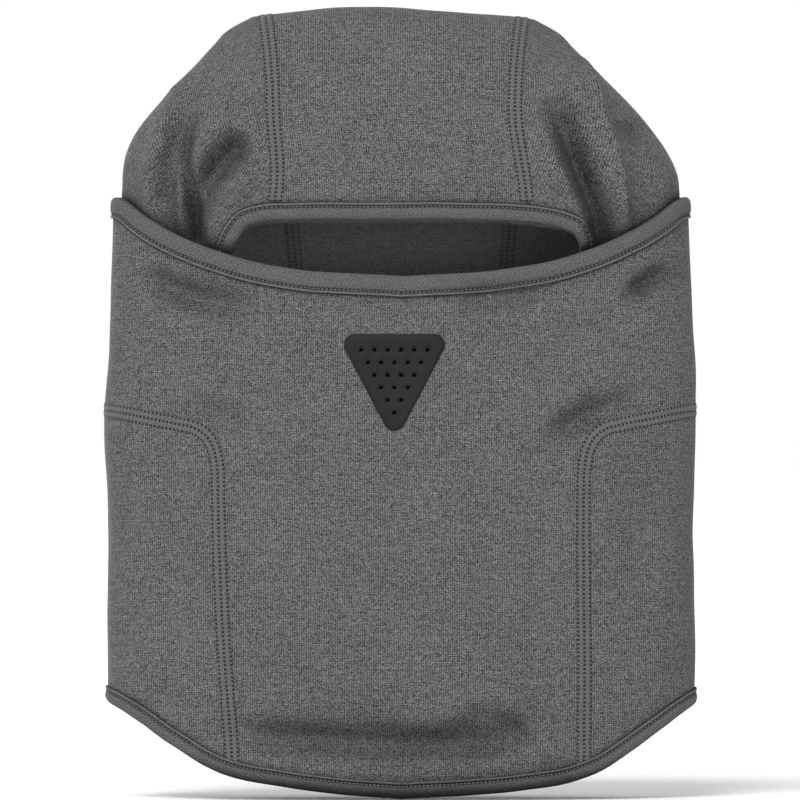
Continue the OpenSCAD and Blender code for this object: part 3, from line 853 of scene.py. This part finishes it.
def gaiter_panels():
    """The front of the neck with the mask and its wings above it, which is one piece, and the two neck sides.
    They are cut from one grid along their seams, and the front has the vent's holes."""
    u = np.linspace(-BACK_U + BACK_GAP, BACK_U - BACK_GAP, 261)
    low, high = hem_z(u) + UNDER_TAPE, mask_top(u) - UNDER_MASK_TAPE
    z = low + (high - low) * np.linspace(0, 1, 158)[:, None]
    rows, cols = z.shape
    params = pairs(u, z).reshape(-1, 2)
    faces = grid_faces(rows, cols)
    mid_u, mid_z = params[faces].mean(1).T
    seam = np.where(mid_u < 0, -seam_u(mid_z, -1), seam_u(mid_z, 1))
    owner = np.where((np.abs(mid_u) > seam) & (mid_z < shoulder_z(mid_u)), np.sign(mid_u), 0)
    sides = {side: shell("neck_side_cloth_" + word, GAITER, params, faces[owner == side], [KNIT, FLEECE])
             for word, side in SIDES}
    # A window of the grid round the vent is filled again with triangles that leave the holes open.
    middle = z[:, cols // 2]
    i0, i1 = np.searchsorted(middle, VENT_TOP - VENT_H - 5), np.searchsorted(middle, VENT_TOP + 3)
    j0, j1 = np.searchsorted(u, VENT_X - 26), np.searchsorted(u, VENT_X + 26)
    row, col = np.divmod(np.arange(len(faces)), cols - 1)
    window = (row >= i0) & (row < i1) & (col >= j0) & (col < j1)
    ids = np.arange(rows * cols).reshape(rows, cols)
    loop = np.concatenate([ids[i0, j0:j1], ids[i0:i1, j1], ids[i1, j1:j0:-1], ids[i1:i0:-1, j0]])
    verts, tris, source = filled(params[loop], vent_holes())
    number, extra = {}, []
    for k, src in enumerate(source):
        old = [q for q in src if q < len(loop)]
        number[k] = int(loop[old[0]]) if old else len(params) + len(extra)
        if not old:
            extra.append(verts[k])
    front = faces[(owner == 0) & ~window].tolist() + [[number[k] for k in f] for f in tris]
    params = np.concatenate([params, extra])
    return shell("front_and_mask_panel", GAITER, params, front, [KNIT, FLEECE]), sides


def neck_back():
    """The back panel, from one back seam past the back middle to the other."""
    u = np.linspace(BACK_U + BACK_GAP, 2 * HALF_ROUND - BACK_U - BACK_GAP, 101)
    at = np.where(u > HALF_ROUND, 2 * HALF_ROUND - u, u)
    low = hem_z(at) + UNDER_TAPE
    z = low + (BACK_TOP - low) * np.linspace(0, 1, 75)[:, None]
    return shell("neck_back_panel_cloth", GAITER, pairs(u, z).reshape(-1, 2), grid_faces(*z.shape),
                 [KNIT, FLEECE])


# ---- Lines sewn on the surfaces: bindings, cover seams and stitches ----

class Line:
    """A line on a surface. at(s, d, h) is s mm along it, d to its right and h above the surface."""

    def __init__(self, surface, path, spacing, side=None):
        places = surface.at(path[:, 0], path[:, 1])
        length = distances(places)
        self.surface = surface
        self.along = np.linspace(0, length[-1], max(2, int(round(length[-1] / spacing)) + 1))
        self.path = np.stack([np.interp(self.along, length, path[:, k]) for k in (0, 1)], 1)
        if side is None:
            self.side = side_of(self.path)
        else:
            self.side = np.full(self.path.shape, side, float)

    def at(self, s, d, h):
        u = np.interp(s, self.along, self.path[:, 0]) + np.interp(s, self.along, self.side[:, 0]) * d
        v = np.interp(s, self.along, self.path[:, 1]) + np.interp(s, self.along, self.side[:, 1]) * d
        return self.surface.at(u, v, h)

    def drift(self, size, shift):
        """Slow change along the line, from -1 to 1."""
        s = self.along
        return wander(np.stack([s, 0 * s, 0 * s], -1), size, shift)


def needle_dips(along, d, rows, depth, width):
    """How far the needle holes of some rows pull a surface down."""
    near = sum(np.exp(-((d - row) / width) ** 2) for row in rows)
    return depth * near * (0.5 + 0.5 * np.cos(2 * math.pi * along / PITCH))


def binding(name, line, width, closed=False):
    """Tape folded over an edge and topstitched, with a stitch groove and a raised lip at its inner side."""
    w = width
    mid = (w - 3.4) / 2 + 0.6
    lip = [(w, 0.06), (w, 0.72), (w - 0.22, 1.06), (w - 0.65, 1.2), (w - 1.1, 1.08), (w - 1.45, 0.76)]
    groove = [(w - 1.75, 0.56), (w - 2.05, 0.56), (w - 2.4, 0.8), (w - 2.9, 1.12), (w - 3.6, 1.34)]
    edge = [(mid, 1.46), (1.2, 1.34), (0.3, 1.04), (-0.4, 0.6), (-0.9, 0), (-1.1, -0.7), (-1, -1.4)]
    behind = [(-0.7, -2), (-0.1, -2.45), (0.8, -2.75), (mid, -2.85), (w - 1.6, -2.8), (w - 0.8, -2.7)]
    inside = [(w - 0.7, -1.95), (mid, -1.88), (2, -1.86), (1.6, -1.4), (1.6, -0.4), (2, 0.06), (mid, 0.06)]
    profile = np.array(lip + groove + edge + behind + inside)
    s = line.along[:-1] if closed else line.along
    puff = 1 + 0.13 * line.drift(9, 2.2)[:len(s), None]
    d = profile[:, 0] + 0.3 * line.drift(17, 7.7)[:len(s), None]
    top = profile[:, 1] > 0.1
    h = np.where(top, profile[:, 1] * puff, profile[:, 1])
    h = h - np.where(top, needle_dips(s[:, None], profile[:, 0], [w - STITCH_IN], 0.3, 0.5), 0)
    round_way = distances(profile)
    uv = pairs(round_way, s[:, None])
    return tube(name, line.at(s[:, None], d, h), [TWILL], uv, closed)


def cover_seam(name, line, inside=False):
    """A three-needle cover seam: a strip with two low humps between its needle rows."""
    half = [(0.3, 0.22), (0.8, 0.4), (1.4, 0.46), (2.0, 0.42), (2.6, 0.3), (3.0, 0.13), (3.3, 0.13),
            (3.4, 0.03)]
    profile = np.array([(-d, h) for d, h in reversed(half)] + [(0, 0.13)] + half)
    s = line.along[:, None]
    d = profile[:, 0] * (1 + 0.03 * line.drift(12, 3.1)[:, None])
    h = profile[:, 1] + np.where(profile[:, 1] > 0.2, 0.05 * line.drift(6, 8.4)[:, None], 0)
    rows = [-NEEDLE_GAP, 0, NEEDLE_GAP]
    h = h - np.where(profile[:, 1] > 0.05, needle_dips(s, profile[:, 0], rows, 0.08, 0.6), 0)
    if inside:
        h = -CLOTH - h
    uv = pairs(profile[:, 0], s)
    return tube(name, line.at(s, d, h), [COVER_INSIDE if inside else COVER], uv)


def many_tubes(name, rings, materials, uv):
    """Separate closed solids in one mesh, from rings of shape (count, n, m, 3)."""
    count, n, m = rings.shape[:3]
    one = grid_faces(n, m, wrap=True).tolist() + [list(range(m))[::-1], [(n - 1) * m + k for k in range(m)]]
    faces = [[k + i * n * m for k in f] for i in range(count) for f in one]
    return new_object(name, rings.reshape(-1, 3), faces, materials, uv.reshape(-1, 2))


def stitches(name, line, width):
    """A binding's row of topstitches, each a short length of thread that dips into the cloth at both ends."""
    d, h = width - STITCH_IN, STITCH_RISE
    reach = np.array([-0.8, -0.55, 0.0, 0.55, 0.8])
    radius = np.array([0.12, 0.26, 0.32, 0.26, 0.12])[:, None]
    rise = np.array([-0.3, -0.04, 0.08, -0.04, -0.3])[:, None]
    turn = -np.arange(6) * math.pi / 3
    middle = (np.arange(int(line.along[-1] / PITCH)) + 0.5) * PITCH
    s = (middle[:, None] + reach)[:, :, None]
    drift = 0.3 * np.interp(s, line.along, line.drift(17, 7.7))
    rings = line.at(s, d + drift + radius * np.cos(turn), h + rise + 0.85 * radius * np.sin(turn))
    uv = pairs(0.3 * turn, s)
    return many_tubes(name, rings, [THREAD], uv)


def brow_fuzz(line):
    """Loose fibres of the brushed inside along the brow's edge."""
    rng = np.random.RandomState(7)
    brow = line.along[(np.abs(line.path[:, 0]) < 74) & (line.path[:, 1] > 266)]
    count = 2600
    s = rng.uniform(brow[0], brow[-1], count)[:, None, None]
    length = (0.5 + rng.gamma(2.0, 0.38, count)).clip(0.5, 2.8)[:, None, None]
    lean, bend, out = (rng.normal(0, spread, count)[:, None, None] for spread in (0.5, 0.5, 0.4))
    root = rng.uniform(-2.4, 0.5, count)[:, None, None]
    t = np.linspace(0, 1, 4)[:, None]
    thick = 0.05 * (1 - t) + 0.012
    turn = -np.arange(3) * 2 * math.pi / 3
    along = s + length * (lean * t + bend * t * t) + thick * np.cos(turn)
    high = root + length * out * t * t + thick * np.sin(turn)
    rings = line.at(along, 0 * turn - 0.6 - length * t, high)
    uv = pairs(s + 0 * turn, length * t)
    return many_tubes("brow_fuzz", rings, [FIBRE], np.broadcast_to(uv, rings.shape[:3] + (2,)))


def vent_outline():
    """A triangle that stands on its rounded point, with straight sides."""
    r = VENT_R
    corners = np.array([(VENT_X - VENT_W / 2 + r, VENT_TOP - r), (VENT_X, VENT_TOP - VENT_H + r),
                        (VENT_X + VENT_W / 2 - r, VENT_TOP - r)])
    outline = []
    for k in range(3):
        before, here, after = corners[k - 1], corners[k], corners[(k + 1) % 3]
        first, last = (math.atan2(-(b - a)[0], (b - a)[1]) for a, b in ((before, here), (here, after)))
        turn = (last - first) % (2 * math.pi)
        arc = np.linspace(first, first + turn, 12)
        outline += [here + r * np.array([math.cos(a), math.sin(a)]) for a in arc]
        step = after - here
        count = int(np.linalg.norm(step) / 1.5)
        side = r * np.array([math.cos(last), math.sin(last)])
        outline += [here + side + step * i / count for i in range(1, count)]
    return np.array(outline)


def vent_patch():
    params, faces, _ = filled(vent_outline(), vent_holes())
    return shell("vent_film_patch", GAITER, params, faces, [FILM], off=0.3, thick=0.27)


def vent_hole_shade():
    """A sheet behind the cloth, darker than the black film, as painted shade that makes the vent's holes look
    black.
    """
    params, faces, _ = filled(vent_outline(), [])
    return shell("vent_hole_shade_film", GAITER, params, faces, [HOLE_SHADE], off=-CLOTH - 0.03, thick=0.2)


# ---- The pieces ----

face_line = Line(STRIP, face_path, 0.5)
mask_u = np.linspace(-BACK_U + 0.4, BACK_U - 0.4, 700)
mask_line = Line(GAITER, pairs(mask_u, mask_top(mask_u)), 0.5)
hem_u = np.linspace(HALF_ROUND, -HALF_ROUND, 1500)
hem_line = Line(GAITER, pairs(hem_u, hem_z(hem_u)), 0.5)


def crown_line(side, low):
    """The seam beside the crown panel, from the brow over the head and down to a height at the nape."""
    t = np.concatenate([np.arange(279.2, DOME_Z, 0.5), DOME_Z + np.linspace(0, 180, 500),
                        np.arange(DOME_Z + 180.5, 2 * DOME_Z + 180 - low, 0.5)])
    return Line(STRIP, pairs(side * strip_seam_x(t), t), PITCH / 4, side=(1, 0))


def shoulder_line(side):
    """Up the front seam from the hem, round its corner, and over the shoulder to the back seam."""
    z = np.arange(hem_z(gaiter_u(85.5, 12)) + 5.5, 150, 1.0)
    up = pairs(np.abs(seam_u(z, side)), z)
    corner = np.array([(float(gaiter_u(x, h)), h) for x, h in SHOULDER_SEAM[4:9]])
    u = np.arange(corner[-1, 0] + 4, BACK_U - 3, 4.0)
    path = path_through(np.concatenate([up[::6], corner, pairs(u, shoulder_z(u))]), 0.5)
    path[:, 0] *= side
    return Line(GAITER, path, PITCH / 4)


def upright_line(u, low, high):
    return Line(GAITER, pairs(u, np.arange(low, high, 1.0)), PITCH / 4)


def back_line(side):
    return upright_line(side * BACK_U, 33.0, 181)


def wing_line(side):
    return upright_line(side * (BACK_U - 3.4), 186.0, 268)


nape_u = np.arange(BACK_U + 3.5, 2 * HALF_ROUND - BACK_U - 3.5, 1.0)
nape_line = Line(GAITER, pairs(nape_u, BACK_TOP - 3.4), PITCH / 4)

hood = {
    "crown_panel": crown_panel(),
    "hood_side_left": hood_side(-1),
    "hood_side_right": hood_side(1),
    "face_binding": binding("face_binding_tape", face_line, FACE_TAPE),
    "face_stitching": stitches("face_topstitching", face_line, FACE_TAPE),
    "crown_seam_left": cover_seam("crown_cover_seam_left", crown_line(-1, BACK_TOP + 4)),
    "crown_seam_right": cover_seam("crown_cover_seam_right", crown_line(1, BACK_TOP + 4)),
}
linings = [cover_seam("crown_seam_inside_" + word, crown_line(side, 164), inside=True)
           for word, side in SIDES]
fuzz = brow_fuzz(face_line)
front, neck_sides = gaiter_panels()
gaiter = {
    "mask_panel": front,
    "neck_side_left": neck_sides[-1],
    "neck_side_right": neck_sides[1],
    "neck_back_panel": neck_back(),
    "mask_binding": binding("mask_binding_tape", mask_line, MASK_TAPE),
    "mask_stitching": stitches("mask_topstitching", mask_line, MASK_TAPE),
    "hem_binding": binding("hem_binding_tape", hem_line, HEM_TAPE, closed=True),
    "hem_stitching": stitches("hem_topstitching", hem_line, HEM_TAPE),
}
for node, piece, line in (("neck_seam_", "shoulder_cover_seam_", shoulder_line),
                          ("back_seam_", "back_cover_seam_", back_line),
                          ("wing_seam_", "wing_cover_seam_", wing_line)):
    for word, side in SIDES:
        gaiter[node + word] = cover_seam(piece + word, line(side))
gaiter["neck_join_seam"] = cover_seam("nape_cover_seam", nape_line)
gaiter["vent_patch"] = vent_patch()
hole_shade_sheet = vent_hole_shade()

# The hood's pieces, the inside seams and the fuzz go with the hood and neck. The gaiter's pieces and the dark
# sheet behind the vent stay where they are, with their places baked into their meshes. The parts that they
# stand for are hidden.
for node, obj in hood.items():
    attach(obj, ROOT)
    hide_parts(node)
for obj in linings + [fuzz]:
    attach(obj, ROOT)
for node, obj in gaiter.items():
    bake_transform(obj)
    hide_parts(node)
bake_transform(hole_shade_sheet)
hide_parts("neck_front_panel")


def cut_size(piece):
    """A panel's flat width and length by its cloth coordinates, and the area of one side of it, in metres."""
    mesh = piece.data
    uv = np.empty(2 * len(mesh.loops), np.float32)
    mesh.uv_layers["cloth"].data.foreach_get("uv", uv)
    width, length = (np.ptp(uv.reshape(-1, 2), axis=0) * UV_UNIT * MM).tolist()
    return (width, length), min(sum(face.area for face in mesh.polygons) / 2, width * length)


def declare(pieces, node, held, rests_on, *sewn_on):
    """Works out the flat size and area of a node's piece, and does nothing more with them. sewn_on is not
    used.
    """
    flat, area = cut_size(pieces[node])


# The crown and the sides of the hood are one dome, held out by its seams. The gaiter hangs round it.
declare(hood, "crown_panel", "stretched", ["crown_cover_seam_left", "crown_cover_seam_right"],
        "crown_seam_left", "crown_seam_right", *linings, fuzz, "face_binding", "face_stitching")
for word in ("left", "right"):
    declare(hood, "hood_side_" + word, "stretched", ["crown_cover_seam_" + word])
    declare(gaiter, "neck_side_" + word, "hung",
            ["shoulder_cover_seam_" + word, "back_cover_seam_" + word], "back_seam_" + word)
declare(gaiter, "mask_panel", "hung", ["wing_cover_seam_left", "wing_cover_seam_right"],
        "mask_binding", "mask_stitching", "hem_binding", "hem_stitching", "neck_seam_left",
        "neck_seam_right", "wing_seam_left", "wing_seam_right", "vent_patch", hole_shade_sheet)
declare(gaiter, "neck_back_panel", "hung", ["nape_cover_seam"], "neck_join_seam")


# ---- Floor, light and camera ----

def floor_material():
    n = Nodes("pale_floor")
    place = n.add("ShaderNodeTexCoord").outputs["Object"]
    n.colour((0.95, 0.95, 0.95), n.total(1.0, n.about(n.noise(place, 3.0, 2), 0.01)))
    return n.finish(0.6, specular=0.5)


bpy.ops.mesh.primitive_plane_add(size=60, location=(0, 0, -0.0008))
floor = bpy.context.object
floor.name = "floor"
floor.data.materials.append(floor_material())


def area_light(name, place, aim, size, power):
    light = bpy.data.lights.new(name, "AREA")
    light.shape = "DISK"
    light.size = size
    light.energy = power
    obj = bpy.data.objects.new(name, light)
    obj.location = place
    obj.rotation_euler = (Vector(aim) - Vector(place)).to_track_quat("-Z", "Y").to_euler()
    bpy.context.scene.collection.objects.link(obj)


MIDDLE = (0, 0, 0.19)
key = bpy.data.lights.new("key", "SUN")
key.energy = 2.9
key.angle = math.radians(28)
key_object = bpy.data.objects.new("key", key)
key_object.rotation_euler = Vector((0.6, 1.6, -1.75)).to_track_quat("-Z", "Y").to_euler()
bpy.context.scene.collection.objects.link(key_object)
area_light("fill", (1.0, -2.0, 0.15), MIDDLE, 1.2, 10)
area_light("back", (-1.4, 2.0, 1.6), MIDDLE, 1.2, 22)

# A soft grey room, with a bright white wall behind the object and white all round where the floor ends.
world = bpy.data.worlds.new("studio")
bpy.context.scene.world = world
world.use_nodes = True
tree = world.node_tree
toward = tree.nodes.new("ShaderNodeSeparateXYZ")
tree.links.new(tree.nodes.new("ShaderNodeTexCoord").outputs["Generated"], toward.inputs[0])


def from_to(axis, dark, bright):
    """1 in directions whose share of an axis is past bright, falling to 0 at dark."""
    step = tree.nodes.new("ShaderNodeMapRange")
    step.interpolation_type = "SMOOTHSTEP"
    step.inputs["From Min"].default_value, step.inputs["From Max"].default_value = dark, bright
    tree.links.new(toward.outputs[axis], step.inputs["Value"])
    return step.outputs[0]


def joined(operation, a, b):
    node = tree.nodes.new("ShaderNodeMath")
    node.operation = operation
    tree.links.new(a, node.inputs[0])
    tree.links.new(b, node.inputs[1])
    return node.outputs[0]


white = joined("MAXIMUM", joined("MULTIPLY", from_to("Y", -0.3, 0.7), from_to("Z", 0.7, 0.15)),
               from_to("Z", 0.1, 0.05))
strength = tree.nodes.new("ShaderNodeMapRange")
strength.inputs["To Min"].default_value, strength.inputs["To Max"].default_value = 0.42, 1.0
tree.links.new(white, strength.inputs["Value"])
background = tree.nodes["Background"]
background.inputs["Color"].default_value = (1, 1, 1, 1)
tree.links.new(strength.outputs[0], background.inputs["Strength"])
bpy.context.scene.view_settings.view_transform = "Standard"

# The camera stands far back, so that the picture is nearly flat, as the photograph is.
DISTANCE, FRAME_WIDTH = 6.0, 0.376
lens = bpy.data.cameras.new("camera")
lens.lens = lens.sensor_width * DISTANCE / FRAME_WIDTH
camera = bpy.data.objects.new("camera", lens)
camera.location = (-0.0004, -DISTANCE, 0.186)
camera.rotation_euler = (math.pi / 2, 0, 0)
bpy.context.scene.collection.objects.link(camera)
bpy.context.scene.camera = camera
